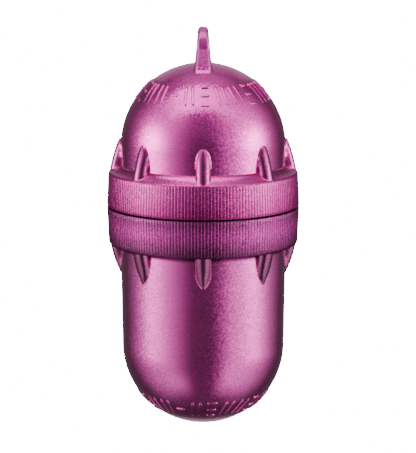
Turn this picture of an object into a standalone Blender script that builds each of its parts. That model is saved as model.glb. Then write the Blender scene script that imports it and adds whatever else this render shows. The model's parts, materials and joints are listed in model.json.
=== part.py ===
"""A screw-together waterproof capsule that hangs from an ear on its cap.

Three pieces stand on one axis, +Z, with the origin at the lowest point of the round end:
  body_shell   the lower half: round end, grip ring with eight gussets, threaded neck
  seal_gasket  the flat rubber ring that the neck's rim is pressed against
  cap_shell    the upper half: dome, grip ring with eight gussets, hanging ear, inner thread

Lengths are in millimetres until MM turns them into metres.
"""

import math

import bmesh
import bpy

MM = 0.001

# Driving sizes of both shells; each wall widens a little towards the seam
ROUND_END_R = 25.4
BODY_WALL_R = 25.85
DOME_R = 25.6
CAP_WALL_R = 25.75
WALL = 2.2
BORE_R = ROUND_END_R - WALL
ROUND_END_Z = ROUND_END_R  # centre of the body's round end
SEAM_Z = ROUND_END_Z + 44.1  # middle of the gap between the two grip rings
DOME_Z = SEAM_Z + 18.8  # centre of the cap's dome
SEAM_GAP = 0.4

# Grip rings: widest at the seam, with a moulding draft away from it
GRIP_R = 30.0
GRIP_END_R = 29.5
BODY_GRIP_H = 11.7
CAP_GRIP_H = 10.6
SHOULDER_RISE = 2.1  # slope from a grip ring's end to its shell
GRIP_CHAMFER = 0.3
GRIP_END_CHAMFER = (0.3, 0.7)  # inwards, and along the axis

# Neck, gasket and the inside of the cap's skirt
NECK_R = 25.3
NECK_TOP_Z = SEAM_Z + 7.8
NECK_CHAMFER = 0.4
REST_GAP = 0.3  # between pieces that touch
GASKET_T = 1.6
GASKET_Z = NECK_TOP_Z + REST_GAP
SHOULDER_Z = GASKET_Z + GASKET_T + REST_GAP
SKIRT_R = 26.8
MOUTH_CHAMFER = 0.5

# Two-start right-hand thread
LEAD = 6.0
STARTS = 2
RIDGE_BASE = 1.85
RIDGE_CREST = 0.75
RIDGE_ROOT = 0.4  # how deep a ridge is sunk in its wall
NECK_CREST_R = 26.4
SKIRT_CREST_R = 25.7
NECK_THREAD_Z = (SEAM_Z + 1.6, SEAM_Z + 6.6)
SKIRT_THREAD_Z = (SEAM_Z + 1.3, SEAM_Z + 5.8)
RUN_OUT = 18.0  # degrees over which a ridge's end fades into its wall

# Gussets: round ribs that lean and curve from a grip ring to its shell
GUSSETS = 8
GUSSET_R = 2.4
GUSSET_EDGE_R = 29.1  # outermost line of a gusset where it leaves the ring
CAP_GUSSET_H = 10.2
BODY_GUSSET_H = 9.8
GUSSET_TIP_RISE = 0.5  # how far the blunt tip stands proud of the shell
GUSSET_BOW = 0.3  # how far its outer line stands out from a straight one at mid height
GUSSET_SINK = 0.3  # how far it starts inside its ring
GUSSET_TIP = 0.5  # height of the blunt tip, which ends inside the wall

# Hanging ear
POLE_Z = DOME_Z + DOME_R
EAR_TOP_Z = POLE_Z + 11.1
EAR_R = 6.3
EYE_R = 3.2
EYE_Z = EAR_TOP_Z - EAR_R
EAR_FOOT_Y = 8.4  # half depth where the ear meets the dome
EAR_TOP_T = 3.1
EAR_FOOT_T = 5.4
EAR_FOOT_Z = POLE_Z - 1.9

TURN_SEGMENTS = 48
DOME_SEGMENTS = 10
GUSSET_SEGMENTS = 14
GUSSET_STEPS = 4
EYE_SEGMENTS = 24


def clear_scene():
    for obj in list(bpy.data.objects):
        bpy.data.objects.remove(obj)


def material(name, colour, roughness, metallic):
    made = bpy.data.materials.new(name)
    made.use_nodes = True
    shader = made.node_tree.nodes["Principled BSDF"]
    shader.inputs["Base Color"].default_value = (*colour, 1.0)
    shader.inputs["Roughness"].default_value = roughness
    shader.inputs["Metallic"].default_value = metallic
    return made


def object_from(bm, name):
    """Turns a bmesh in millimetres into a linked object in metres, facing out."""
    bmesh.ops.recalc_face_normals(bm, faces=bm.faces)
    bmesh.ops.scale(bm, vec=(MM, MM, MM), verts=bm.verts)
    mesh = bpy.data.meshes.new(name)
    bm.to_mesh(mesh)
    bm.free()
    obj = bpy.data.objects.new(name, mesh)
    bpy.context.scene.collection.objects.link(obj)
    return obj


def turned(name, profile):
    """Spins an open (r, z) profile about Z. Its ends lie on the axis, or it closes on itself."""
    bm = bmesh.new()
    points = [bm.verts.new((r, 0.0, z)) for r, z in profile]
    edges = [bm.edges.new(pair) for pair in zip(points, points[1:])]
    if profile[0][0] > 0.0:
        edges.append(bm.edges.new((points[-1], points[0])))
    bmesh.ops.spin(
        bm,
        geom=points + edges,
        cent=(0.0, 0.0, 0.0),
        axis=(0.0, 0.0, 1.0),
        angle=2.0 * math.pi,
        steps=TURN_SEGMENTS,
        use_merge=True,
    )
    bmesh.ops.remove_doubles(bm, verts=bm.verts, dist=0.001)
    return object_from(bm, name)


def quarter_arc(radius, centre_z, upwards):
    """(r, z) points from the equator at radius to the pole on the axis."""
    sign = 1.0 if upwards else -1.0
    points = []
    for i in range(DOME_SEGMENTS):
        angle = 0.5 * math.pi * i / DOME_SEGMENTS
        points.append((radius * math.cos(angle), centre_z + sign * radius * math.sin(angle)))
    points.append((0.0, centre_z + sign * radius))
    return points


def helper(obj):
    """Marks an object that only cuts or joins another one."""
    obj.hide_render = True
    obj.display_type = "WIRE"
    return obj


def combine(obj, operation, other):
    modifier = obj.modifiers.new(f"{operation.lower()} {other.name}", "BOOLEAN")
    modifier.operation = operation
    modifier.object = helper(other)


def finish(obj, finish_material):
    obj.data.materials.append(finish_material)
    obj.data.shade_smooth()
    obj.data.set_sharp_from_angle(angle=math.radians(30.0))
    return obj


def thread_ridges(name, wall_r, crest_r, z_range, phase_z):
    """Both starts of a trapezoid ridge on a right-hand helix.

    The centre line is at phase_z where the angle is zero, and climbs LEAD in each turn.
    """
    outward = math.copysign(1.0, crest_r - wall_r)
    root_r = wall_r - outward * RIDGE_ROOT
    slope = 0.5 * (RIDGE_BASE - RIDGE_CREST) / abs(crest_r - wall_r)
    root_half = 0.5 * RIDGE_BASE + slope * RIDGE_ROOT
    first = 360.0 * (z_range[0] - phase_z) / LEAD
    last = 360.0 * (z_range[1] - phase_z) / LEAD
    steps = round((last - first) / (360.0 / TURN_SEGMENTS))
    bm = bmesh.new()
    for start in range(STARTS):
        previous = None
        for i in range(steps + 1):
            angle = first + (last - first) * i / steps
            z = phase_z + LEAD * angle / 360.0
            full = min(1.0, (angle - first) / RUN_OUT, (last - angle) / RUN_OUT)
            height = max(full, 0.0) * abs(crest_r - wall_r) - 0.05 * (full <= 0.0)
            crest_half = 0.5 * RIDGE_CREST + slope * (abs(crest_r - wall_r) - height)
            tip_r = wall_r + outward * height
            turn = math.radians(angle + 360.0 * start / STARTS)
            corners = (
                (root_r, z - root_half),
                (tip_r, z - crest_half),
                (tip_r, z + crest_half),
                (root_r, z + root_half),
            )
            section = [bm.verts.new((r * math.cos(turn), r * math.sin(turn), h)) for r, h in corners]
            if previous is None:
                bm.faces.new(section)
            else:
                for k in range(4):
                    n = (k + 1) % 4
                    bm.faces.new((previous[k], previous[n], section[n], section[k]))
            previous = section
        bm.faces.new(previous)
    return object_from(bm, name)


def gusset_sections(ring_z, height, sign, shell_r):
    """(z, centre, radius) of each round section of a gusset, from its foot to its tip."""
    tip_edge_r = shell_r + GUSSET_TIP_RISE
    sections = []
    for i in range(GUSSET_STEPS + 1):
        share = i / GUSSET_STEPS
        edge_r = GUSSET_EDGE_R + share * (tip_edge_r - GUSSET_EDGE_R)
        edge_r += 4.0 * GUSSET_BOW * share * (1.0 - share)
        z = ring_z + sign * (share * (height + GUSSET_SINK) - GUSSET_SINK)
        sections.append((z, edge_r - GUSSET_R, GUSSET_R))
    tip_z, tip_centre, _ = sections[-1]
    sections.append((tip_z + sign * GUSSET_TIP, tip_centre, GUSSET_R - 2.0 * GUSSET_TIP_RISE))
    return sections


def gussets(name, ring_z, height, upwards, shell_r):
    """Eight leaning round ribs, each sunk in the shell's wall."""
    sections = gusset_sections(ring_z, height, 1.0 if upwards else -1.0, shell_r)
    bm = bmesh.new()
    for g in range(GUSSETS):
        direction = 2.0 * math.pi * g / GUSSETS - 0.5 * math.pi
        out_x, out_y = math.cos(direction), math.sin(direction)
        rings = []
        for z, centre, radius in sections:
            ring = []
            for i in range(GUSSET_SEGMENTS):
                angle = 2.0 * math.pi * (i + 0.5) / GUSSET_SEGMENTS
                out = centre + radius * math.cos(angle)
                side = radius * math.sin(angle)
                ring.append(bm.verts.new((out * out_x - side * out_y, out * out_y + side * out_x, z)))
            rings.append(ring)
        bm.faces.new(rings[0])
        bm.faces.new(rings[-1])
        for low, high in zip(rings, rings[1:]):
            for i in range(GUSSET_SEGMENTS):
                n = (i + 1) % GUSSET_SEGMENTS
                bm.faces.new((low[i], low[n], high[n], high[i]))
    return object_from(bm, name)


def ear_half_thickness(z):
    share = (z - EAR_FOOT_Z) / (EAR_TOP_Z - EAR_FOOT_Z)
    return 0.5 * (EAR_FOOT_T + share * (EAR_TOP_T - EAR_FOOT_T))


def ear():
    """A tapered plate in the YZ plane with a round top; its cheeks are flat."""
    outline = [(EAR_FOOT_Y, EAR_FOOT_Z)]
    for i in range(EYE_SEGMENTS // 2 + 1):
        angle = 2.0 * math.pi * i / EYE_SEGMENTS
        outline.append((EAR_R * math.cos(angle), EYE_Z + EAR_R * math.sin(angle)))
    outline.append((-EAR_FOOT_Y, EAR_FOOT_Z))
    bm = bmesh.new()
    sides = []
    for sign in (1.0, -1.0):
        sides.append([bm.verts.new((sign * ear_half_thickness(z), y, z)) for y, z in outline])
        bm.faces.new(sides[-1])
    for i in range(len(outline)):
        n = (i + 1) % len(outline)
        bm.faces.new((sides[0][i], sides[0][n], sides[1][n], sides[1][i]))
    return object_from(bm, "ear_plate")


def eye_cutter():
    bm = bmesh.new()
    rings = []
    for x in (-EAR_FOOT_T, EAR_FOOT_T):
        ring = []
        for i in range(EYE_SEGMENTS):
            angle = 2.0 * math.pi * i / EYE_SEGMENTS
            ring.append(bm.verts.new((x, EYE_R * math.cos(angle), EYE_Z + EYE_R * math.sin(angle))))
        rings.append(ring)
        bm.faces.new(ring)
    for i in range(EYE_SEGMENTS):
        n = (i + 1) % EYE_SEGMENTS
        bm.faces.new((rings[0][i], rings[0][n], rings[1][n], rings[1][i]))
    return object_from(bm, "eye_cutter")


def body_shell(finish_material):
    """Round end, straight wall, grip ring and threaded neck, hollow from the rim down."""
    ring_bottom = SEAM_Z - BODY_GRIP_H
    ring_top = SEAM_Z - 0.5 * SEAM_GAP
    inset, length = GRIP_END_CHAMFER
    round_end = quarter_arc(ROUND_END_R, ROUND_END_Z, upwards=False)[::-1]
    profile = round_end + [
        (BODY_WALL_R, ring_bottom - SHOULDER_RISE),
        (GRIP_END_R - inset, ring_bottom),
        (GRIP_END_R, ring_bottom + length),
        (GRIP_R, ring_top - GRIP_CHAMFER),
        (GRIP_R - GRIP_CHAMFER, ring_top),
        (NECK_R, ring_top),
        (NECK_R, NECK_TOP_Z - NECK_CHAMFER),
        (NECK_R - NECK_CHAMFER, NECK_TOP_Z),
        (0.0, NECK_TOP_Z),
    ]
    shell = turned("body_shell", profile)
    ribs = gussets("body_gussets", ring_bottom, BODY_GUSSET_H, upwards=False, shell_r=BODY_WALL_R)
    combine(shell, "UNION", ribs)
    hollow = [(0.0, NECK_TOP_Z + WALL), (BORE_R, NECK_TOP_Z + WALL)]
    hollow += quarter_arc(BORE_R, ROUND_END_Z, upwards=False)
    combine(shell, "DIFFERENCE", turned("body_hollow", hollow))
    ridges = thread_ridges("neck_thread", NECK_R, NECK_CREST_R, NECK_THREAD_Z, NECK_THREAD_Z[0])
    combine(shell, "UNION", ridges)
    return finish(shell, finish_material)


def cap_shell(finish_material):
    """Dome with the hanging ear, grip ring and threaded skirt, hollow from the mouth up."""
    mouth_z = SEAM_Z + 0.5 * SEAM_GAP
    ring_top = SEAM_Z + CAP_GRIP_H
    inset, length = GRIP_END_CHAMFER
    profile = [
        (0.0, mouth_z),
        (GRIP_R - GRIP_CHAMFER, mouth_z),
        (GRIP_R, mouth_z + GRIP_CHAMFER),
        (GRIP_END_R, ring_top - length),
        (GRIP_END_R - inset, ring_top),
        (CAP_WALL_R, ring_top + SHOULDER_RISE),
    ] + quarter_arc(DOME_R, DOME_Z, upwards=True)
    shell = turned("cap_shell", profile)
    ribs = gussets("cap_gussets", ring_top, CAP_GUSSET_H, upwards=True, shell_r=DOME_R)
    combine(shell, "UNION", ribs)
    plate = ear()
    combine(plate, "DIFFERENCE", eye_cutter())
    combine(shell, "UNION", plate)
    hollow = [
        (0.0, mouth_z - WALL),
        (SKIRT_R + MOUTH_CHAMFER, mouth_z - WALL),
        (SKIRT_R + MOUTH_CHAMFER, mouth_z),
        (SKIRT_R, mouth_z + MOUTH_CHAMFER),
        (SKIRT_R, SHOULDER_Z),
        (BORE_R, SHOULDER_Z),
    ] + quarter_arc(BORE_R, DOME_Z, upwards=True)
    combine(shell, "DIFFERENCE", turned("cap_hollow", hollow))
    half_pitch = 0.5 * LEAD / STARTS
    ridges = thread_ridges(
        "skirt_thread", SKIRT_R, SKIRT_CREST_R, SKIRT_THREAD_Z, NECK_THREAD_Z[0] - half_pitch
    )
    combine(shell, "UNION", ridges)
    return finish(shell, finish_material)


def seal_gasket(finish_material):
    """Flat ring that lies loose under the cap's inner shoulder, held in by the skirt's thread."""
    inner_r, outer_r = BORE_R + REST_GAP, SKIRT_R - REST_GAP
    low_z, high_z = GASKET_Z, GASKET_Z + GASKET_T
    profile = [(inner_r, low_z), (outer_r, low_z), (outer_r, high_z), (inner_r, high_z)]
    return finish(turned("seal_gasket", profile), finish_material)


def main():
    clear_scene()
    magenta = material("flake_magenta_plastic", (0.42, 0.06, 0.25), 0.32, 0.75)
    rubber = material("black_rubber", (0.025, 0.025, 0.028), 0.75, 0.0)
    body_shell(magenta)
    seal_gasket(rubber)
    cap_shell(magenta)


main()
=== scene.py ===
"""The finished surface of a screw-together capsule: metal-flake magenta plastic, knurled grip rings,
round gussets, bands of raised marks, a hanging ear and a rubber gasket inside.

Shapes are worked out in millimetres and turned into metres as each mesh is made. Heights marked "h"
are measured along the axis from the middle of the joint between the two grip rings.
"""

import json
import math

import bpy
import numpy as np
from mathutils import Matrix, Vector


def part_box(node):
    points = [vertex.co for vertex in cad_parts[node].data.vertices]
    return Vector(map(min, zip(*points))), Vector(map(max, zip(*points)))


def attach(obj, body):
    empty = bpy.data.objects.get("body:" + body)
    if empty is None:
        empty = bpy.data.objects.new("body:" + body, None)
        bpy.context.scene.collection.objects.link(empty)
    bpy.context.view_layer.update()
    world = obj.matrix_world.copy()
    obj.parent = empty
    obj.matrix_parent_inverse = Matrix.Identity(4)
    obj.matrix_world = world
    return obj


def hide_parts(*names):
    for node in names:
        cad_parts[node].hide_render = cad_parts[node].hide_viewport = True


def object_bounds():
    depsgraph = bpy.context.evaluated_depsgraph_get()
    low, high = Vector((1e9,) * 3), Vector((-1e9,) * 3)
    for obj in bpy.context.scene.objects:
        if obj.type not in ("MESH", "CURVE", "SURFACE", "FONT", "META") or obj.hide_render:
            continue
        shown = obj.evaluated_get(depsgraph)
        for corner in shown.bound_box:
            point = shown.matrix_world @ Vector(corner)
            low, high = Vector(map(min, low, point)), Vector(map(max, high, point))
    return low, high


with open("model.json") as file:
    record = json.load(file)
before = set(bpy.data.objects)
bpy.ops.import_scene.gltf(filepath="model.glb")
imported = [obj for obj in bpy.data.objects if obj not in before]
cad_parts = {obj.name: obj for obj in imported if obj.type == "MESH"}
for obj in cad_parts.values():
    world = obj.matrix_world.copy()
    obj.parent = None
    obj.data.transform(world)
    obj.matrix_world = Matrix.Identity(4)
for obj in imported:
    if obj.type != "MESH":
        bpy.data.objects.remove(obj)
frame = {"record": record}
CAD_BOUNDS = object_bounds()

MM = 0.001


def box_mm(node):
    """Lowest and highest corners of a CAD node, in millimetres."""
    low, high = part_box(node)
    return np.array(low) / MM, np.array(high) / MM


BODY_HIGH = box_mm("body_shell")[1]
CAP_LOW, CAP_HIGH = box_mm("cap_shell")
SEAL_LOW, SEAL_HIGH = box_mm("seal_gasket")
EYE = next(m for m in frame["record"]["mounts"] if m["name"] == "hanging_eye")
LIFT = frame["record"]["behaviour"]["couplings"][0]["ratio"]  # metres in a radian

# Places read from the frame
SEAM_HALF_GAP = 0.2  # half the gap between the two grip rings
SEAM_Z = CAP_LOW[2] - SEAM_HALF_GAP
GRIP_R = CAP_HIGH[0]
NECK_TOP_Z = BODY_HIGH[2]
EAR_TOP_Z = CAP_HIGH[2]
EYE_Z = EYE["pos_m"][2] / MM
EYE_R = EYE["dims"]["r_mm"]
LEAD = LIFT * 2.0 * math.pi / MM

# Shells
ROUND_END_R = 25.4
BODY_WALL_R = 25.85  # at the shoulder; the wall narrows to ROUND_END_R
DOME_R = 25.6
CAP_WALL_R = 25.75  # at the shoulder
DOME_Z = SEAM_Z + 18.8
POLE_Z = DOME_Z + DOME_R
WALL = 2.2
BORE_R = ROUND_END_R - WALL

# Shoulders, the slopes between a grip ring's edge and the wall
CAP_RISE = 2.1
BODY_RISE = 0.8
CAP_FILLET = 3.0
BODY_FILLET = 0.4
SHOULDER_ROWS = 12

# Grip rings, with a straight knurl
BODY_GRIP_H = 11.7
CAP_GRIP_H = 10.6
GRIP_END_R = 29.5  # where the side ends and the rounded edge begins
GRIP_EDGE_R = 29.2  # where the shoulder begins
GRIP_EDGE_H = 0.7  # height of the rounded edge
CAP_GRIP_ROUND = 0.25
BODY_GRIP_ROUND = 0.5
JOINT_FACE_W = 1.5
TEETH = 180
CAP_TOOTH_DEPTH = 0.06
BODY_TOOTH_DEPTH = 0.07
TOOTH_FULLNESS = 7.0  # 2 is a parabola; more is a flatter tooth with a narrower groove

# Gussets. The outer line of one runs at the radius edge - lean * t - curve * t * t, with t along it from
# the grip ring's edge. Its section is a half ellipse; half is its half width, which shrinks over the nose.
GUSSETS = 8
GUSSET_TALL = 2.4
GUSSET_BLEND = 0.35
GUSSET_BLUNT = 0.5  # length over which the outer line drops at the very tip
GUSSET_THIN = 0.05  # least half width
GUSSET_SPARE = 0.4  # how far the finely divided wall goes on past the tips
CAP_GUSSET = {"edge": 29.13, "lean": 0.17, "curve": 0.0115, "length": 10.5, "nose": 3.8, "half": 2.45}
BODY_GUSSET = {"edge": 29.1, "lean": 0.15, "curve": 0.0165, "length": 10.3, "nose": 7.0, "half": 2.65}

# Neck, gasket and the inside of the skirt
NECK_R = 25.3
NECK_CREST = 1.1
NECK_FOOT = 0.3  # width of the chamfer at the neck's foot
NECK_THREAD_H = (1.6, 6.6)
SKIRT_R = 26.8
SKIRT_CREST = 1.1
MOUTH_CHAMFER = 0.5
INNER_CHAMFER = 0.2
SKIRT_THREAD_H = (1.3, 5.8)
SHOULDER_Z = SEAL_HIGH[2] + 0.3
STARTS = 2
RIDGE_BASE = 1.85
RIDGE_CREST = 0.75
RUN_OUT = 18.0  # degrees
RIM_ROUND = 0.4

# How finely each stretch is divided, round the axis and along it
FINE = 8 * TEETH
RIBBED = 720
PLAIN = 360
INSIDE = 240
ARC_STEP = 2.5  # degrees
INSIDE_ARC_STEP = 4.0  # degrees
WALL_STEP = 3.0
BORE_STEP = 4.0
GRIP_STEP = 0.9
GUSSET_STEP = 0.28
THREAD_STEP = 0.15


# ---------------------------------------------------------------- mesh making


def mesh_object(name, points, faces, sharp_degrees=32.0):
    """A smooth-shaded object from points in millimetres."""
    mesh = bpy.data.meshes.new(name)
    mesh.from_pydata((np.asarray(points) * MM).tolist(), [], faces)
    mesh.update()
    mesh.shade_smooth()
    mesh.set_sharp_from_angle(angle=math.radians(sharp_degrees))
    obj = bpy.data.objects.new(name, mesh)
    bpy.context.scene.collection.objects.link(obj)
    return obj


def turn(count):
    """Angles spread evenly round the axis."""
    return 2.0 * math.pi * np.arange(count) / count


def ring(count, radius, z):
    """Points round the axis; radius is one number or one for each point. A count of 1 is a pole."""
    if count == 1:
        return np.array([[0.0, 0.0, z]])
    r = np.broadcast_to(radius, count)
    angle = turn(count)
    return np.stack([r * np.cos(angle), r * np.sin(angle), np.full(count, float(z))], axis=1)


def stretch(first, share, index, count):
    """The points of one ring that a face uses, where the face covers `share` of its steps."""
    if count == 1:
        return [first]
    return [first + (index * share + k) % count for k in range(share + 1)]


def skin(rings):
    """Faces through a row of rings, from pole to pole. Neighbouring counts divide one another."""
    faces = []
    first = 0
    for low, high in zip(rings, rings[1:]):
        second = first + len(low)
        sizes = [n for n in (len(low), len(high)) if n > 1]
        steps = min(sizes)
        for i in range(steps):
            lower = stretch(first, len(low) // steps, i, len(low))
            upper = stretch(second, len(high) // steps, i, len(high))
            faces.append(lower + upper[::-1])
        first = second
    return faces


def shell_object(name, rings):
    return mesh_object(name, np.concatenate(rings), skin(rings))


def between(low, high, step):
    """Evenly spread values from low to high, both included, about one step apart."""
    return np.linspace(low, high, max(2, int(round(abs(high - low) / step)) + 1))


# ---------------------------------------------------------------- surfaces of the shells


def blended_max(a, b, width):
    """The larger of two surfaces, with a fillet of about that width where they cross."""
    near = np.maximum(width - np.abs(a - b), 0.0) / width
    return np.maximum(a, b) + 0.25 * width * near**2


def rounding(t, length, reach):
    """1 along most of a length, and down to 0 at its end on a quarter ellipse of that reach."""
    into = min(max((t - length + reach) / reach, 0.0), 1.0)
    return math.sqrt(1.0 - into * into)


def with_gussets(wall_r, gusset, t, count):
    """Radius round the axis of a wall with gussets, t along them from the grip ring's edge."""
    if t > gusset["length"]:
        return np.full(count, wall_r)
    edge = gusset["edge"] - gusset["lean"] * t - gusset["curve"] * t * t
    edge -= GUSSET_TALL * (1.0 - rounding(t, gusset["length"], GUSSET_BLUNT))
    half_width = max(gusset["half"] * rounding(t, gusset["length"], gusset["nose"]), GUSSET_THIN)
    spacing = 2.0 * math.pi / GUSSETS
    off = (turn(count) + 0.5 * spacing) % spacing - 0.5 * spacing
    under = 1.0 - (edge * np.sin(off) / half_width) ** 2
    rib = (edge - GUSSET_TALL) + GUSSET_TALL * np.sqrt(np.maximum(under, 0.0))
    rib = np.where(under > 0.0, rib / np.cos(off), wall_r - GUSSET_BLEND)
    return blended_max(np.full(count, wall_r), rib, GUSSET_BLEND)


def tooth_cut(depth):
    """How deep the knurl cuts in, round the axis: flat teeth with narrow grooves between them."""
    off = np.abs((turn(FINE) * TEETH / (2.0 * math.pi) + 0.5) % 1.0 - 0.5)
    return depth * (2.0 * off) ** TOOTH_FULLNESS


def grip_rings(grip_h, corner, depth, sign):
    """Rings of a grip from its joint face to its shoulder; sign is 1 above the joint and -1 below it."""
    start = SEAM_HALF_GAP
    drop = (GRIP_R - GRIP_END_R) / (grip_h - start)
    # Each row is a radius, a height and the share of the teeth's depth there. The first two round the
    # joint's edge and the last two the shoulder's.
    rows = [(GRIP_R - corner, start, 0.6), (GRIP_R - 0.3 * corner, start + 0.3 * corner, 0.8)]
    for h in between(start + corner, grip_h - GRIP_EDGE_H, GRIP_STEP):
        rows.append((GRIP_R - drop * (h - start), h, 1.0))
    rows.append((GRIP_END_R - 0.08, grip_h - 0.3, 0.85))
    rows.append((GRIP_EDGE_R, grip_h, 0.5))
    return [ring(FINE, radius - tooth_cut(share * depth), SEAM_Z + sign * h) for radius, h, share in rows]


def shoulder_rings(grip_h, rise, wall_r, gusset, fillet, sign):
    """Rings of the slope from a grip's edge to the wall, with the gussets' feet on it.

    The slope runs into the wall through a fillet of about that width.
    """
    rings = []
    for share in np.linspace(0.08, 1.0, SHOULDER_ROWS):
        t = rise * share
        slope_r = GRIP_EDGE_R + (wall_r - GRIP_EDGE_R) * share
        radius = float(blended_max(np.array(slope_r), np.array(wall_r), fillet))
        rings.append(ring(RIBBED, with_gussets(radius, gusset, t, RIBBED), SEAM_Z + sign * (grip_h + t)))
    return rings


def thread(wall_r, height, h_range, phase_h, h, sign):
    """Radius round the axis of a wall with a two-start right-hand ridge, at height h.

    The ridge is at phase_h where the angle is 0, and runs out at both ends of h_range. It stands out
    from the wall where sign is 1, and in where it is -1.
    """
    angle = np.degrees(turn(INSIDE))
    radius = np.full(INSIDE, wall_r)
    root_half = 0.5 * RIDGE_BASE
    slope = 0.5 * (RIDGE_BASE - RIDGE_CREST) / height
    first = 360.0 * (h_range[0] - phase_h) / LEAD
    last = 360.0 * (h_range[1] - phase_h) / LEAD
    for start in range(STARTS):
        for lap in range(-2, 3):
            along = angle - 360.0 * start / STARTS + 360.0 * lap
            centre = phase_h + LEAD * along / 360.0
            full = np.clip(np.minimum(along - first, last - along) / RUN_OUT, 0.0, 1.0)
            rise = np.clip((root_half - np.abs(h - centre)) / slope, 0.0, height * full)
            highest = np.maximum(rise, sign * (radius - wall_r))
            radius = np.where(rise > 0.0, wall_r + sign * highest, radius)
    return radius


def body_moulding():
    """Outside from the round end's pole up to the neck's rim, then down the bore to its floor."""
    rings = [ring(1, 0.0, 0.0)]
    for polar in np.radians(between(ARC_STEP, 90.0, ARC_STEP)):
        rings.append(ring(PLAIN, ROUND_END_R * math.sin(polar), ROUND_END_R * (1.0 - math.cos(polar))))
    wall_end_h = -(BODY_GRIP_H + BODY_RISE)
    gusset_end_h = -(BODY_GRIP_H + BODY_GUSSET["length"] + GUSSET_SPARE)
    wall_h = ROUND_END_R - SEAM_Z

    def wall_at(h):
        return ROUND_END_R + (BODY_WALL_R - ROUND_END_R) * (h - wall_h) / (wall_end_h - wall_h)

    for h in between(wall_h + WALL_STEP, gusset_end_h - 1.0, WALL_STEP):
        rings.append(ring(PLAIN, wall_at(h), SEAM_Z + h))
    for h in between(gusset_end_h, wall_end_h - 0.3, GUSSET_STEP):
        radius = with_gussets(wall_at(h), BODY_GUSSET, -h - BODY_GRIP_H, RIBBED)
        rings.append(ring(RIBBED, radius, SEAM_Z + h))
    rings += shoulder_rings(BODY_GRIP_H, BODY_RISE, BODY_WALL_R, BODY_GUSSET, BODY_FILLET, -1.0)[::-1]
    rings += grip_rings(BODY_GRIP_H, BODY_GRIP_ROUND, BODY_TOOTH_DEPTH, -1.0)[::-1]
    joint_z = SEAM_Z - SEAM_HALF_GAP
    rings.append(ring(INSIDE, GRIP_R - JOINT_FACE_W, joint_z))
    rings.append(ring(INSIDE, NECK_R + NECK_FOOT, joint_z))
    for h in between(0.0, NECK_TOP_Z - SEAM_Z - RIM_ROUND, THREAD_STEP):
        radius = thread(NECK_R, NECK_CREST, NECK_THREAD_H, NECK_THREAD_H[0], h, 1.0)
        rings.append(ring(INSIDE, radius, SEAM_Z + h))
    rings += rim(NECK_R, BORE_R, NECK_TOP_Z)
    for z in between(NECK_TOP_Z - RIM_ROUND - 1.0, ROUND_END_R, BORE_STEP):
        rings.append(ring(INSIDE, BORE_R, z))
    for polar in np.radians(between(87.0, 3.0, INSIDE_ARC_STEP)):
        rings.append(ring(INSIDE, BORE_R * math.sin(polar), ROUND_END_R - BORE_R * math.cos(polar)))
    rings.append(ring(1, 0.0, WALL))
    return shell_object("body_moulding", rings)


def rim(outer_r, inner_r, top_z):
    """The neck's rounded rim, from its outside over to the bore."""
    rings = []
    arc = np.radians([25.0, 50.0, 70.0, 90.0])
    for radius, sign, angles in ((outer_r, 1.0, arc), (inner_r, -1.0, arc[::-1])):
        for angle in angles:
            inset = sign * RIM_ROUND * (1.0 - math.cos(angle))
            rings.append(ring(INSIDE, radius - inset, top_z - RIM_ROUND * (1.0 - math.sin(angle))))
    return rings


def cap_moulding():
    """From the ceiling of the dome down the inside to the skirt's mouth, then up the outside."""
    rings = [ring(1, 0.0, DOME_Z + BORE_R)]
    for polar in np.radians(between(INSIDE_ARC_STEP, 88.0, INSIDE_ARC_STEP)):
        rings.append(ring(INSIDE, BORE_R * math.sin(polar), DOME_Z + BORE_R * math.cos(polar)))
    for z in between(DOME_Z, SHOULDER_Z + INNER_CHAMFER, WALL_STEP):
        rings.append(ring(INSIDE, BORE_R, z))
    rings.append(ring(INSIDE, BORE_R + INNER_CHAMFER, SHOULDER_Z))
    rings.append(ring(INSIDE, SKIRT_R - INNER_CHAMFER, SHOULDER_Z))
    mouth_z = SEAM_Z + SEAM_HALF_GAP
    phase_h = NECK_THREAD_H[0] - 0.5 * LEAD / STARTS
    for h in between(SHOULDER_Z - SEAM_Z - INNER_CHAMFER, SEAM_HALF_GAP + MOUTH_CHAMFER, THREAD_STEP):
        radius = thread(SKIRT_R, SKIRT_CREST, SKIRT_THREAD_H, phase_h, h, -1.0)
        rings.append(ring(INSIDE, radius, SEAM_Z + h))
    rings.append(ring(INSIDE, SKIRT_R + MOUTH_CHAMFER, mouth_z))
    rings.append(ring(INSIDE, GRIP_R - JOINT_FACE_W, mouth_z))
    rings += grip_rings(CAP_GRIP_H, CAP_GRIP_ROUND, CAP_TOOTH_DEPTH, 1.0)
    rings += shoulder_rings(CAP_GRIP_H, CAP_RISE, CAP_WALL_R, CAP_GUSSET, CAP_FILLET, 1.0)
    wall_h = CAP_GRIP_H + CAP_RISE
    dome_h = DOME_Z - SEAM_Z

    def wall_at(h):
        if h > dome_h:
            return math.sqrt(DOME_R**2 - (h - dome_h) ** 2)
        return CAP_WALL_R + (DOME_R - CAP_WALL_R) * (h - wall_h) / (dome_h - wall_h)

    gusset_end_h = CAP_GRIP_H + CAP_GUSSET["length"] + GUSSET_SPARE
    for h in between(wall_h + 0.3, gusset_end_h, GUSSET_STEP):
        radius = with_gussets(wall_at(h), CAP_GUSSET, h - CAP_GRIP_H, RIBBED)
        rings.append(ring(RIBBED, radius, SEAM_Z + h))
    start_polar = math.degrees(math.acos((gusset_end_h - dome_h) / DOME_R))
    for polar in np.radians(between(start_polar - 1.5, ARC_STEP, ARC_STEP)):
        rings.append(ring(PLAIN, DOME_R * math.sin(polar), DOME_Z + DOME_R * math.cos(polar)))
    rings.append(ring(1, 0.0, POLE_Z))
    return shell_object("cap_moulding", rings)


# ---------------------------------------------------------------- hanging ear

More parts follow.
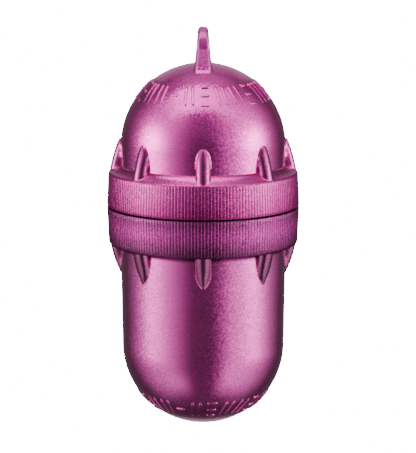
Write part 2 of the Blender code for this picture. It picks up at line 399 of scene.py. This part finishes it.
EAR_R = 6.3
EAR_FOOT_Y = 10.0  # half length of the ear at its foot
EAR_TOP_T = 3.1  # thickness
EAR_FOOT_T = 5.4
EAR_FOOT_Z = POLE_Z - 1.9
EAR_ROUND = 1.05
EAR_FLARE = 0.6  # how widely the ear's foot flares into the dome
EAR_SINK = 0.03  # how far below the dome's surface the flare runs out
EAR_SKIRT_DEPTH = 1.2
EAR_SKIRT = (7.0, 12.0)  # half sizes of the part that lies hidden under the dome's surface
EAR_STEP = 0.25
EAR_MARGIN = 0.6  # how far the sampled box reaches past the ear and its hidden part
EAR_BOTTOM_Z = DOME_Z + 19.0  # the sampled box's floor, below the hidden part


def ear_field(p):
    """Signed distance, about, to the ear and its flare; negative inside."""
    x, y, z = np.abs(p[..., 0]), np.abs(p[..., 1]), p[..., 2]
    from_eye = np.hypot(y, z - EYE_Z)
    lean = math.atan2(EAR_FOOT_Y - EAR_R, EYE_Z - EAR_FOOT_Z)
    side = (y - EAR_R) * math.cos(lean) + (z - EYE_Z) * math.sin(lean)
    outline = np.where(z > EYE_Z, from_eye - EAR_R, side)
    outline = np.maximum(outline, EYE_R - from_eye)
    share = (z - EAR_FOOT_Z) / (EAR_TOP_Z - EAR_FOOT_Z)
    cheek = x - 0.5 * (EAR_FOOT_T + share * (EAR_TOP_T - EAR_FOOT_T))
    out_a, out_b = outline + EAR_ROUND, cheek + EAR_ROUND
    plate = np.hypot(np.maximum(out_a, 0.0), np.maximum(out_b, 0.0))
    plate = plate + np.minimum(np.maximum(out_a, out_b), 0.0) - EAR_ROUND
    from_centre = np.sqrt(x**2 + y**2 + (z - DOME_Z) ** 2)
    joined = -blended_max(-plate, -(from_centre - DOME_R + EAR_SINK), EAR_FLARE)
    below = DOME_R - EAR_SKIRT_DEPTH - from_centre
    beside = (np.hypot(x / EAR_SKIRT[0], y / EAR_SKIRT[1]) - 1.0) * EAR_SKIRT[0]
    return np.maximum(np.maximum(joined, below), beside)


def surface_nets(field, low, high, step):
    """Points and quads on the surface where a field is zero, from samples in a box."""
    axes = [np.arange(a, b + step, step) for a, b in zip(low, high)]
    samples = field(np.stack(np.meshgrid(*axes, indexing="ij"), axis=-1))
    inside = samples < 0.0
    corners = np.array([[i, j, k] for i in (0, 1) for j in (0, 1) for k in (0, 1)])
    cells = tuple(n - 1 for n in inside.shape)
    filled = np.zeros(cells, dtype=int)
    for i, j, k in corners:
        filled += inside[i : i + cells[0], j : j + cells[1], k : k + cells[2]]
    crossed = np.argwhere((filled > 0) & (filled < len(corners)))
    place = np.zeros(crossed.shape)
    hits = np.zeros(len(crossed))
    for a in corners:
        for b in corners:
            if (b - a).min() < 0 or (b - a).sum() != 1:
                continue
            value_a = samples[tuple((crossed + a).T)]
            value_b = samples[tuple((crossed + b).T)]
            hit = (value_a < 0.0) != (value_b < 0.0)
            share = np.where(hit, value_a / np.where(hit, value_a - value_b, 1.0), 0.0)
            place += hit[:, None] * (a + share[:, None] * (b - a))
            hits += hit
    points = np.array(low) + step * (crossed + place / hits[:, None])
    number = np.full(cells, -1)
    number[tuple(crossed.T)] = np.arange(len(crossed))
    faces = []
    for axis in range(3):
        one, two = (axis + 1) % 3, (axis + 2) % 3
        start = np.moveaxis(inside, (axis, one, two), (0, 1, 2))
        grid = np.moveaxis(number, (axis, one, two), (0, 1, 2))
        change = start[:-1] != start[1:]
        for i, j, k in np.argwhere(change[:, 1:-1, 1:-1]):
            quad = [grid[i, j, k], grid[i, j + 1, k], grid[i, j + 1, k + 1], grid[i, j, k + 1]]
            faces.append([int(n) for n in (quad if start[i, j + 1, k + 1] else quad[::-1])])
    return points, faces


def settle(field, points, rounds=3, reach=0.02, least_slope=0.2):
    """Moves points onto the surface where the field is zero, along its slope."""
    for _ in range(rounds):
        value = field(points)
        slope = np.stack([field(points + reach * unit) - value for unit in np.eye(3)], axis=1) / reach
        points = points - slope * (value / np.maximum((slope**2).sum(axis=1), least_slope))[:, None]
    return points


def hanging_ear():
    """The ear with its eye and flared foot; the foot's hidden part lies in the dome's wall."""
    half_x, half_y = EAR_SKIRT[0] + EAR_MARGIN, EAR_SKIRT[1] + EAR_MARGIN
    low = (-half_x, -half_y, EAR_BOTTOM_Z)
    high = (half_x, half_y, EAR_TOP_Z + EAR_MARGIN)
    points, faces = surface_nets(ear_field, low, high, EAR_STEP)
    points = settle(ear_field, points)
    points[:, 2] = np.minimum(points[:, 2], EAR_TOP_Z)
    return mesh_object("hanging_ear", points, faces, sharp_degrees=50.0)


# ---------------------------------------------------------------- raised marks

MARK_SLOTS = 24
SLOT_SIGNS = ("dash", "ticks", "bars", "ticks", "ticks", "bars", "ticks", "ticks")
CAP_FIRST_DASH = -118.0  # degrees round the axis
BODY_FIRST_DASH = -112.0
MARK_WIDTH = 1.0
MARK_HEIGHT_AT = 39.0  # degrees from the pole
CAP_MARK_HEIGHT = (0.45, 0.3 / 17.0)  # there, and how much less in each degree further from the pole
BODY_MARK_HEIGHT = (0.35, 0.0)
MARK_SINK = 0.35  # how far a mark reaches down into the wall
MARK_LIP = 0.02  # how far its section's lowest corners lie under the surface
MARK_BAND = (38.5, 55.5)  # degrees from the pole
MARK_SLANT = 3.0  # degrees round the axis from a tick's inner end to its outer end
TICK_OFF = 0.22  # a tick's distance from the middle of its slot, as a share of the slot
BAR_HALF = 0.3  # half length of a dash or bar, as a share of the slot
BAR_INSET = 1.0  # degrees from the band's edge to the outer bars
MARK_BLUNT = 0.06  # a mark's ends are cut off at this share of their rounding
MARK_STEPS = 14
# half of a mark's section: (share of half width, share of height)
MARK_SECTION = ((1.0, 0.0), (0.97, 0.35), (0.86, 0.7), (0.62, 0.93), (0.3, 1.0))


def raised_mark(start, end, radius, centre_z, upwards, height):
    """One rounded bar on a round end, between two (polar, azimuth) places in degrees."""
    sign = 1.0 if upwards else -1.0
    share = np.linspace(0.0, 1.0, MARK_STEPS)
    polar = np.radians(start[0] + (end[0] - start[0]) * share)
    azimuth = np.radians(start[1] + (end[1] - start[1]) * share)
    out = np.stack(
        [np.sin(polar) * np.cos(azimuth), np.sin(polar) * np.sin(azimuth), sign * np.cos(polar)], axis=1
    )
    ahead = np.gradient(out, axis=0)
    across = np.cross(out, ahead)
    across /= np.linalg.norm(across, axis=1)[:, None]
    length = radius * np.linalg.norm(out[-1] - out[0])
    from_end = np.minimum(share, 1.0 - share) * length / (0.5 * MARK_WIDTH)
    plump = np.sqrt(1.0 - (1.0 - np.clip(from_end, MARK_BLUNT, 1.0)) ** 2)
    tall = height[0] - height[1] * (np.degrees(polar) - MARK_HEIGHT_AT)
    section = [(1.0, None), *MARK_SECTION, *((-w, t) for w, t in MARK_SECTION[::-1]), (-1.0, None)]
    points = []
    for i in range(MARK_STEPS):
        for w, t in section:
            rise = -MARK_SINK if t is None else t * tall[i] * plump[i] - MARK_LIP
            side = 0.5 * MARK_WIDTH * w * plump[i]
            points.append((radius + rise) * out[i] + side * across[i] + np.array([0.0, 0.0, centre_z]))
    n = len(section)
    faces = [list(range(n))[::-1], [(MARK_STEPS - 1) * n + k for k in range(n)]]
    for i in range(MARK_STEPS - 1):
        for k in range(n):
            m = (k + 1) % n
            faces.append([i * n + k, i * n + m, (i + 1) * n + m, (i + 1) * n + k])
    return np.array(points), faces


def mark_plan(first_dash):
    """(start, end) of each mark: a dash, a pair of slanted ticks or a stack of three bars in each slot."""
    low, high = MARK_BAND
    pitch = 360.0 / MARK_SLOTS
    middle = 0.5 * (low + high)
    plan = []
    for slot in range(MARK_SLOTS):
        centre = first_dash + slot * pitch
        sign = SLOT_SIGNS[slot % len(SLOT_SIGNS)]
        if sign == "ticks":
            for side in (-TICK_OFF, TICK_OFF):
                at = centre + side * pitch
                plan.append(((low, at - 0.5 * MARK_SLANT), (high, at + 0.5 * MARK_SLANT)))
        else:
            for polar in (middle,) if sign == "dash" else (low + BAR_INSET, middle, high - BAR_INSET):
                plan.append(((polar, centre - BAR_HALF * pitch), (polar, centre + BAR_HALF * pitch)))
    return plan


def marks(name, radius, centre_z, upwards, first_dash, height):
    """A band of marks round one end, as one object."""
    points, faces = [], []
    count = 0
    for start, end in mark_plan(first_dash):
        mark_points, mark_faces = raised_mark(start, end, radius, centre_z, upwards, height)
        points.append(mark_points)
        faces += [[count + n for n in face] for face in mark_faces]
        count += len(mark_points)
    return mesh_object(name, np.concatenate(points), faces, sharp_degrees=60.0)


# ---------------------------------------------------------------- gasket

GASKET_INSET = 0.3  # how far its hole stands back from the bore
GASKET_ROUND = 0.35
GASKET_STEPS = 180


def gasket_ring():
    """A flat ring with rounded edges."""
    inner_r = BORE_R + GASKET_INSET
    outer_r = SEAL_HIGH[0]
    middle_r = 0.5 * (inner_r + outer_r)
    half_w = 0.5 * (outer_r - inner_r)
    half_t = 0.5 * (SEAL_HIGH[2] - SEAL_LOW[2])
    middle_z = 0.5 * (SEAL_HIGH[2] + SEAL_LOW[2])
    section = []
    for quarter, (sx, sz) in enumerate(((1, 1), (-1, 1), (-1, -1), (1, -1))):
        for angle in np.radians(np.linspace(0.0, 90.0, 5) + 90.0 * quarter):
            r = middle_r + sx * (half_w - GASKET_ROUND) + GASKET_ROUND * math.cos(angle)
            z = middle_z + sz * (half_t - GASKET_ROUND) + GASKET_ROUND * math.sin(angle)
            section.append((r, z))
    points, faces = [], []
    for angle in turn(GASKET_STEPS):
        points += [(r * math.cos(angle), r * math.sin(angle), z) for r, z in section]
    n = len(section)
    for i in range(GASKET_STEPS):
        j = (i + 1) % GASKET_STEPS
        for k in range(n):
            m = (k + 1) % n
            faces.append([i * n + k, j * n + k, j * n + m, i * n + m])
    return mesh_object("gasket_ring", points, faces)


# ---------------------------------------------------------------- materials


class Nodes:
    """Short calls for making and joining shader nodes."""

    def __init__(self, tree):
        self.tree = tree

    def make(self, kind, **settings):
        node = self.tree.nodes.new(kind)
        for name, value in settings.items():
            setattr(node, name, value)
        return node

    def join(self, value, socket):
        if isinstance(value, bpy.types.NodeSocket):
            self.tree.links.new(value, socket)
        elif value is not None:
            socket.default_value = value

    def math(self, operation, a, b=None, c=None):
        node = self.make("ShaderNodeMath", operation=operation)
        for value, socket in zip((a, b, c), node.inputs):
            self.join(value, socket)
        return node.outputs[0]

    def ramp(self, value, low, high, to_low=0.0, to_high=1.0):
        """A smooth step from to_low to to_high as value goes from low to high."""
        node = self.make("ShaderNodeMapRange", interpolation_type="SMOOTHSTEP")
        for given, socket in zip((value, low, high, to_low, to_high), node.inputs):
            self.join(given, socket)
        return node.outputs[0]

    def product(self, first, *others):
        for other in others:
            first = self.math("MULTIPLY", first, other)
        return first

    def bell(self, value, centre, width):
        """1 at the centre, falling away on both sides."""
        off = self.math("DIVIDE", self.math("SUBTRACT", value, centre), width)
        return self.math("EXPONENT", self.product(off, off, -1.0))

    def mix(self, factor, a, b):
        """From colour a to colour b; each is a socket or three numbers."""
        node = self.make("ShaderNodeMix", data_type="RGBA")
        self.join(factor, node.inputs[0])
        for colour, socket in ((a, node.inputs[6]), (b, node.inputs[7])):
            self.join((*colour, 1.0) if isinstance(colour, tuple) else colour, socket)
        return node.outputs[2]

    def mix_number(self, factor, a, b):
        node = self.make("ShaderNodeMix", data_type="FLOAT")
        for given, socket in zip((factor, a, b), (node.inputs[0], node.inputs[2], node.inputs[3])):
            self.join(given, socket)
        return node.outputs[0]

    def combine(self, value):
        """One number as a vector with three equal parts."""
        node = self.make("ShaderNodeCombineXYZ")
        for socket in node.inputs:
            self.join(value, socket)
        return node.outputs[0]

    def vector(self, operation, a, b=None):
        node = self.make("ShaderNodeVectorMath", operation=operation)
        self.join(a, node.inputs[0])
        self.join(b, node.inputs[1])
        return node.outputs[0]

    def noise(self, place, scale, detail):
        node = self.make("ShaderNodeTexNoise")
        self.join(place, node.inputs["Vector"])
        node.inputs["Scale"].default_value = scale
        node.inputs["Detail"].default_value = detail
        return node.outputs[0]


def new_material(name):
    made = bpy.data.materials.new(name)
    made.use_nodes = True
    return made, Nodes(made.node_tree), made.node_tree.nodes["Principled BSDF"]


FLAKE_SCALE = 3200.0  # cells in a metre: flakes about 0.3 mm across
FLAKE_TILT = 0.10
FLAKE_ROUGHNESS = (0.15, 0.25)
WALL_SPARKLE = 0.25  # how much the flakes differ in brightness
GRIP_SPARKLE = 0.38
GRIP_DULLNESS = 0.16  # added to the roughness of the grip rings
CLOUD_SCALE = 90.0  # cells in a metre of a faint drift in brightness
CLOUD_RANGE = (0.95, 1.05)
GRAZING_TINT = (1.0, 0.5, 0.8, 1.0)  # of what the flakes mirror at a shallow angle
COAT_ROUGHNESS = 0.12
COAT_IOR = 1.5

WALL_TINT = (0.50, 0.024, 0.275)
THICK_TINT = (0.25, 0.009, 0.13)
BODY_THICK_TINT = (0.18, 0.007, 0.095)
# painted shade: the body's shoulder under its grip ring, and the wall just below it, are painted dark
BODY_PAINTED_SHADE_TINT = (0.09, 0.002, 0.048)
EAR_TINT = (0.34, 0.018, 0.2)
EAR_METAL = 0.5

# Where one zone of a moulding fades into the next, in millimetres: by radius, by height above the
# capsule's round end, or by height past the edge of the grip ring
GUSSET_FROM_R = (25.9, 26.3)
EAR_FROM_Z = (POLE_Z - 0.7, POLE_Z + 1.1)
GRIP_FROM_R = (28.9, 29.3)
SLOPE_TO_R = (GRIP_EDGE_R + 0.3, GRIP_EDGE_R + 0.7)  # moved along the shoulder's slope to the ring's edge
# Edges of the painted shade under a grip ring: on the wall near it, and from just past the ring's edge
SHADED_WALL_TO_R = (26.0, 26.2)
SHADED_WALL_TO_H = (1.0, 2.2)
SHADED_FROM_H = (-0.6, -0.3)


def cap_grip_painted_glow(nodes, h):
    """Painted glow: the cap's grip ring is painted lighter towards its upper edge, as if lit from above."""
    return nodes.ramp(h, 0.0, 8.0)


def body_grip_painted_glow(nodes, h):
    """Painted glow: the body's grip ring is painted lighter along its middle."""
    return nodes.bell(h, -5.0, 3.6)


# For each half: the grip ring's height, how much its shoulder narrows in each millimetre of height, where
# the ring's painted glow lies, its shaded (deep) and lit (bright) colours, and the clear coat on the ring,
# the walls and the shoulder
CAP_GRIP = {
    "height": CAP_GRIP_H,
    "slope": (GRIP_EDGE_R - CAP_WALL_R) / CAP_RISE,
    "painted_glow": cap_grip_painted_glow,
    "deep": (0.20, 0.003, 0.095),
    "bright": (0.32, 0.020, 0.17),
    "coat": 0.3,
    "wall_coat": 0.62,
    "shoulder_coat": 0.62,
}
BODY_GRIP = {
    "height": BODY_GRIP_H,
    "slope": (GRIP_EDGE_R - BODY_WALL_R) / BODY_RISE,
    "painted_glow": body_grip_painted_glow,
    "deep": (0.085, 0.010, 0.054),
    "bright": (0.275, 0.019, 0.163),
    "coat": 0.27,
    "wall_coat": 1.0,
    "shoulder_coat": 0.1,
}


def flake_plastic(name, grip, painted_shade_tint, thick_tint=THICK_TINT, thick_metal=1.0):
    """Clear magenta plastic full of fine metal flakes, under its own moulded gloss.

    Thick places, the grip rings, gussets and ear, have their own tints, and the grip rings carry a painted
    glow. A painted shade darkens the shoulder under a grip ring and runs a little way along the wall next to
    it.
    """
    made, nodes, shader = new_material(name)
    place = nodes.make("ShaderNodeTexCoord").outputs["Object"]
    split = nodes.make("ShaderNodeSeparateXYZ")
    nodes.join(nodes.vector("MULTIPLY", place, (1.0 / MM,) * 3), split.inputs[0])
    x, y, z = split.outputs
    from_axis = nodes.math("SQRT", nodes.math("ADD", nodes.product(x, x), nodes.product(y, y)))
    h = nodes.math("SUBTRACT", z, SEAM_Z)
    thick = nodes.math("MAXIMUM", nodes.ramp(from_axis, *GUSSET_FROM_R), nodes.ramp(z, *EAR_FROM_Z))
    past_grip = nodes.math("SUBTRACT", nodes.math("ABSOLUTE", h), grip["height"])
    above_shoulder = nodes.math("MULTIPLY_ADD", past_grip, grip["slope"], from_axis)
    # painted shade under the grip ring: its shoulder's slope and a little of the wall below it
    shade_on_slope = nodes.ramp(above_shoulder, *SLOPE_TO_R, 1.0, 0.0)
    shade_on_wall = nodes.product(
        nodes.ramp(from_axis, *SHADED_WALL_TO_R, 1.0, 0.0),
        nodes.ramp(past_grip, *SHADED_WALL_TO_H, 1.0, 0.0),
    )
    in_painted_shade = nodes.product(
        nodes.math("MAXIMUM", shade_on_slope, shade_on_wall),
        nodes.ramp(past_grip, *SHADED_FROM_H),
    )
    on_grip = nodes.ramp(from_axis, *GRIP_FROM_R)

    flakes = nodes.make("ShaderNodeTexVoronoi")
    nodes.join(place, flakes.inputs["Vector"])
    flakes.inputs["Scale"].default_value = FLAKE_SCALE
    shade = nodes.make("ShaderNodeSeparateColor")
    nodes.join(flakes.outputs["Color"], shade.inputs[0])
    cloud = nodes.noise(place, CLOUD_SCALE, 3.0)

    spread = nodes.mix_number(on_grip, WALL_SPARKLE, GRIP_SPARKLE)
    flake = nodes.math("MULTIPLY_ADD", spread, nodes.ramp(shade.outputs[0], 0.0, 1.0, -1.0, 1.0), 1.0)
    bright = nodes.product(flake, nodes.ramp(cloud, 0.3, 0.7, *CLOUD_RANGE))
    tint = nodes.mix(thick, WALL_TINT, thick_tint)
    # painted shade tint over that zone under the grip ring
    tint = nodes.mix(in_painted_shade, tint, painted_shade_tint)
    # painted glow: the grip ring's colour runs between a shaded copy and a lit copy
    grip_painted_glow_tint = nodes.mix(grip["painted_glow"](nodes, h), grip["deep"], grip["bright"])
    tint = nodes.mix(on_grip, tint, grip_painted_glow_tint)
    nodes.join(nodes.vector("MULTIPLY", tint, nodes.combine(bright)), shader.inputs["Base Color"])

    tilt = nodes.vector("SUBTRACT", flakes.outputs["Color"], (0.5, 0.5, 0.5))
    tilt = nodes.vector("MULTIPLY", tilt, (FLAKE_TILT,) * 3)
    normal = nodes.make("ShaderNodeNewGeometry").outputs["Normal"]
    leaning = nodes.vector("NORMALIZE", nodes.vector("ADD", normal, tilt))
    nodes.join(leaning, shader.inputs["Normal"])

    nodes.join(nodes.mix_number(thick, 1.0, thick_metal), shader.inputs["Metallic"])
    rough = nodes.ramp(shade.outputs[1], 0.0, 1.0, *FLAKE_ROUGHNESS)
    nodes.join(nodes.math("MULTIPLY_ADD", on_grip, GRIP_DULLNESS, rough), shader.inputs["Roughness"])
    shader.inputs["Specular Tint"].default_value = GRAZING_TINT
    # in the painted shade under the body's grip ring the clear coat is turned down as well
    gloss = nodes.mix_number(in_painted_shade, grip["wall_coat"], grip["shoulder_coat"])
    nodes.join(nodes.mix_number(on_grip, gloss, grip["coat"]), shader.inputs["Coat Weight"])
    shader.inputs["Coat Roughness"].default_value = COAT_ROUGHNESS
    shader.inputs["Coat IOR"].default_value = COAT_IOR
    return made


RUBBER_DARK = (0.018, 0.018, 0.020)
RUBBER_LIGHT = (0.034, 0.034, 0.036)
RUBBER_GRAIN_SCALE = 1800.0
RUBBER_BLOOM_SCALE = 160.0
RUBBER_ROUGHNESS = (0.62, 0.82)
RUBBER_GRAIN_DEPTH = 0.03


def rubber():
    """Matt black rubber with a fine dry grain and a faint bloom."""
    made, nodes, shader = new_material("black_rubber")
    place = nodes.make("ShaderNodeTexCoord").outputs["Object"]
    grain = nodes.noise(place, RUBBER_GRAIN_SCALE, 4.0)
    bloom = nodes.noise(place, RUBBER_BLOOM_SCALE, 3.0)
    nodes.join(nodes.mix(bloom, RUBBER_DARK, RUBBER_LIGHT), shader.inputs["Base Color"])
    nodes.join(nodes.ramp(grain, 0.3, 0.7, *RUBBER_ROUGHNESS), shader.inputs["Roughness"])
    bump = nodes.make("ShaderNodeBump")
    bump.inputs["Distance"].default_value = RUBBER_GRAIN_DEPTH * MM
    nodes.join(grain, bump.inputs["Height"])
    nodes.join(bump.outputs[0], shader.inputs["Normal"])
    return made


# ---------------------------------------------------------------- stage, light and camera

CAMERA_DISTANCE = 700.0
CAMERA_ELEVATION = 9.8  # degrees above the joint
CAMERA_AIM = (1.5, 0.0, SEAM_Z - 7.1)
CAMERA_HEIGHT_ANGLE = 11.54  # degrees that the picture's height takes in
FLOOR_HALF = 6.0  # metres
WHITE = 20.0  # bright enough to come out as pure white


def add_camera():
    camera = bpy.data.cameras.new("camera")
    camera.sensor_fit = "VERTICAL"
    camera.angle_y = math.radians(CAMERA_HEIGHT_ANGLE)
    camera.clip_start = 0.01
    camera.clip_end = 20.0
    obj = bpy.data.objects.new("camera", camera)
    rise = math.radians(CAMERA_ELEVATION)
    place = Vector((0.0, -math.cos(rise), math.sin(rise))) * CAMERA_DISTANCE + Vector((0.0, 0.0, SEAM_Z))
    obj.location = place * MM
    obj.rotation_euler = (Vector(CAMERA_AIM) - place).to_track_quat("-Z", "Y").to_euler()
    bpy.context.scene.collection.objects.link(obj)
    bpy.context.scene.camera = obj


def add_floor():
    """A plain white floor that the capsule stands on; it isn't mirrored in the gloss."""
    mesh = bpy.data.meshes.new("floor")
    z = float(CAD_BOUNDS[0][2])
    corners = [(x * FLOOR_HALF, y * FLOOR_HALF, z) for x, y in ((-1, -1), (1, -1), (1, 1), (-1, 1))]
    mesh.from_pydata(corners, [], [(0, 1, 2, 3)])
    obj = bpy.data.objects.new("floor", mesh)
    bpy.context.scene.collection.objects.link(obj)
    made, _, shader = new_material("floor_white")
    shader.inputs["Base Color"].default_value = (0.9, 0.9, 0.9, 1.0)
    shader.inputs["Roughness"].default_value = 0.9
    shader.inputs["Emission Color"].default_value = (1.0, 1.0, 1.0, 1.0)
    shader.inputs["Emission Strength"].default_value = WHITE
    mesh.materials.append(made)
    obj.visible_glossy = False
    obj.visible_diffuse = False
    obj.visible_transmission = False
    obj.visible_shadow = False


# The studio light is worked out from the direction it comes from. Azimuth is in degrees away from the
# camera's side, the same to the right and to the left, and elevation in degrees above the horizon. An
# edge's pair of numbers gives where its fade starts and ends.
SOFTBOX_STRENGTH = (1.8, 2.4)  # left and right
SOFTBOX_START = (13.0, 7.0)  # azimuths where a softbox starts, low down and higher up
SOFTBOX_FULL = (46.0, 60.0)  # and where it is at its full strength
SOFTBOX_WANE = (50.0, 60.0)  # and where it begins to fade
SOFTBOX_END = (130.0, 140.0)
SOFTBOX_LOWER_EDGE = (-75.0, -40.0)
SOFTBOX_UPPER_EDGE = (40.0, 60.0)
CORE_STRENGTH = 13.8  # of the hottest part of each softbox
CORE_AZIMUTH = (76.0, 17.0)  # middle and width
CORE_ELEVATION = (5.0, 15.0)
OVERHEAD_STRENGTH = (6.6, 3.6)  # left and right
OVERHEAD_FRONT_EDGE = (0.79, 0.86)  # of z, in the view from the side
OVERHEAD_BACK_EDGE = (0.06, 0.18)  # of y, in the view from the side
OVERHEAD_SIDE_EDGE = (0.28, 0.8)  # of x
BACK_STRENGTH = 0.6
BACK_DEPTH = (0.55, 0.8)  # of y
BACK_WIDTH = (0.06, 0.2)  # of x
BACK_SPREAD = 0.6  # how much wider the strip behind gets with height
BACK_LOWER_EDGE = (-80.0, -60.0)
ROOM_FRONT = (0.24, 0.55)  # strength of the room's own light, low and high
ROOM_BACK = (0.13, 0.25)
ROOM_CEILING = 1.1


def softboxes(nodes, x, azimuth, elevation):
    """Two tall softboxes beside the camera; low down the right one comes nearer, and both end sooner."""
    start = nodes.ramp(elevation, -20.0, 5.0, *SOFTBOX_START)
    lifted_on_left = nodes.math("ADD", elevation, nodes.ramp(x, -0.3, 0.3, 25.0, 0.0))
    full = nodes.ramp(lifted_on_left, -25.0, 0.0, *SOFTBOX_FULL)
    wane = nodes.ramp(elevation, -25.0, -10.0, *SOFTBOX_WANE)
    end = nodes.ramp(elevation, -25.0, -10.0, *SOFTBOX_END)
    return nodes.product(
        nodes.ramp(azimuth, start, full),
        nodes.ramp(azimuth, wane, end, 1.0, 0.0),
        nodes.ramp(elevation, *SOFTBOX_LOWER_EDGE),
        nodes.ramp(elevation, *SOFTBOX_UPPER_EDGE, 1.0, 0.0),
        nodes.ramp(x, -0.7, 0.7, *SOFTBOX_STRENGTH),
    )


def overhead_strip(nodes, x, y, z):
    """A wide strip light above the capsule, from side to side; its edges run along the x axis."""
    upright = nodes.math("SQRT", nodes.math("SUBTRACT", 1.0001, nodes.math("MULTIPLY", x, x)))
    return nodes.product(
        nodes.ramp(nodes.math("DIVIDE", z, upright), *OVERHEAD_FRONT_EDGE),
        nodes.ramp(nodes.math("DIVIDE", y, upright), *OVERHEAD_BACK_EDGE, 1.0, 0.0),
        nodes.ramp(nodes.math("ABSOLUTE", x), *OVERHEAD_SIDE_EDGE, 1.0, 0.0),
        nodes.ramp(x, -0.6, 0.4, *OVERHEAD_STRENGTH),
    )


def back_strip(nodes, x, y, z, elevation):
    """A faint upright strip behind the capsule."""
    height = nodes.math("MAXIMUM", z, 0.0)
    off_middle = nodes.math("MULTIPLY_ADD", height, -BACK_SPREAD, nodes.math("ABSOLUTE", x))
    return nodes.product(
        nodes.ramp(y, *BACK_DEPTH),
        nodes.ramp(off_middle, *BACK_WIDTH, 1.0, 0.0),
        nodes.ramp(elevation, *BACK_LOWER_EDGE),
    )


def room_light(nodes, azimuth, elevation):
    """The pale room: dimmer low down than high up, and darker behind than in front, but for its ceiling."""
    in_front = nodes.ramp(elevation, -10.0, 40.0, *ROOM_FRONT)
    in_back = nodes.ramp(elevation, -15.0, 10.0, *ROOM_BACK)
    in_back = nodes.math("ADD", in_back, nodes.ramp(elevation, 35.0, 70.0, 0.0, ROOM_CEILING))
    return nodes.mix_number(nodes.ramp(azimuth, 100.0, 140.0), in_front, in_back)


def add_light():
    """Soft studio light from all round, in front of a background that the camera sees as white."""
    world = bpy.data.worlds.new("studio")
    world.use_nodes = True
    bpy.context.scene.world = world
    nodes = Nodes(world.node_tree)
    world.node_tree.nodes.clear()
    direction = nodes.make("ShaderNodeTexCoord").outputs["Generated"]
    split = nodes.make("ShaderNodeSeparateXYZ")
    nodes.join(direction, split.inputs[0])
    x, y, z = split.outputs
    flat = nodes.math("SQRT", nodes.math("ADD", nodes.math("MULTIPLY", x, x), nodes.math("MULTIPLY", y, y)))
    forward = nodes.math("DIVIDE", nodes.math("MULTIPLY", y, -1.0), nodes.math("MAXIMUM", flat, 1e-4))
    degree = 180.0 / math.pi
    azimuth = nodes.math("MULTIPLY", nodes.math("ARCCOSINE", forward), degree)
    elevation = nodes.math("MULTIPLY", nodes.math("ARCSINE", z), degree)

    core = nodes.product(nodes.bell(azimuth, *CORE_AZIMUTH), nodes.bell(elevation, *CORE_ELEVATION))
    total = nodes.math("ADD", softboxes(nodes, x, azimuth, elevation), room_light(nodes, azimuth, elevation))
    total = nodes.math("MULTIPLY_ADD", core, CORE_STRENGTH, total)
    total = nodes.math("ADD", overhead_strip(nodes, x, y, z), total)
    total = nodes.math("MULTIPLY_ADD", back_strip(nodes, x, y, z, elevation), BACK_STRENGTH, total)
    seen = nodes.make("ShaderNodeLightPath").outputs["Is Camera Ray"]
    shown = nodes.math("MULTIPLY", seen, WHITE)
    lit = nodes.math("MULTIPLY", nodes.math("SUBTRACT", 1.0, seen), total)
    background = nodes.make("ShaderNodeBackground")
    nodes.join(nodes.math("ADD", shown, lit), background.inputs["Strength"])
    output = nodes.make("ShaderNodeOutputWorld")
    nodes.join(background.outputs[0], output.inputs[0])
    bpy.context.scene.view_settings.view_transform = "AgX"
    bpy.context.scene.view_settings.look = "None"


# ---------------------------------------------------------------- putting it together


def place_piece(obj, made, body, slot, *nodes):
    """Gives a piece its material and body, and says which CAD nodes it replaces; the slot is not used."""
    obj.data.materials.append(made)
    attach(obj, body)
    if nodes:
        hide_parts(*nodes)


def main():
    add_camera()
    add_floor()
    add_light()
    body_plastic = flake_plastic("body_plastic", BODY_GRIP, BODY_PAINTED_SHADE_TINT, BODY_THICK_TINT)
    cap_plastic = flake_plastic("cap_plastic", CAP_GRIP, WALL_TINT)
    ear_plastic = flake_plastic("ear_plastic", CAP_GRIP, WALL_TINT, EAR_TINT, EAR_METAL)
    place_piece(body_moulding(), body_plastic, "body", "body_plastic", "body_shell")
    place_piece(cap_moulding(), cap_plastic, "cap", "cap_plastic", "cap_shell")
    place_piece(hanging_ear(), ear_plastic, "cap", "cap_plastic")
    cap_marks = marks("cap_raised_marks", DOME_R, DOME_Z, True, CAP_FIRST_DASH, CAP_MARK_HEIGHT)
    place_piece(cap_marks, cap_plastic, "cap", "cap_plastic")
    body_marks = marks(
        "body_raised_marks", ROUND_END_R, ROUND_END_R, False, BODY_FIRST_DASH, BODY_MARK_HEIGHT
    )
    place_piece(body_marks, body_plastic, "body", "body_plastic")
    place_piece(gasket_ring(), rubber(), "seal", "seal_rubber", "seal_gasket")


main()
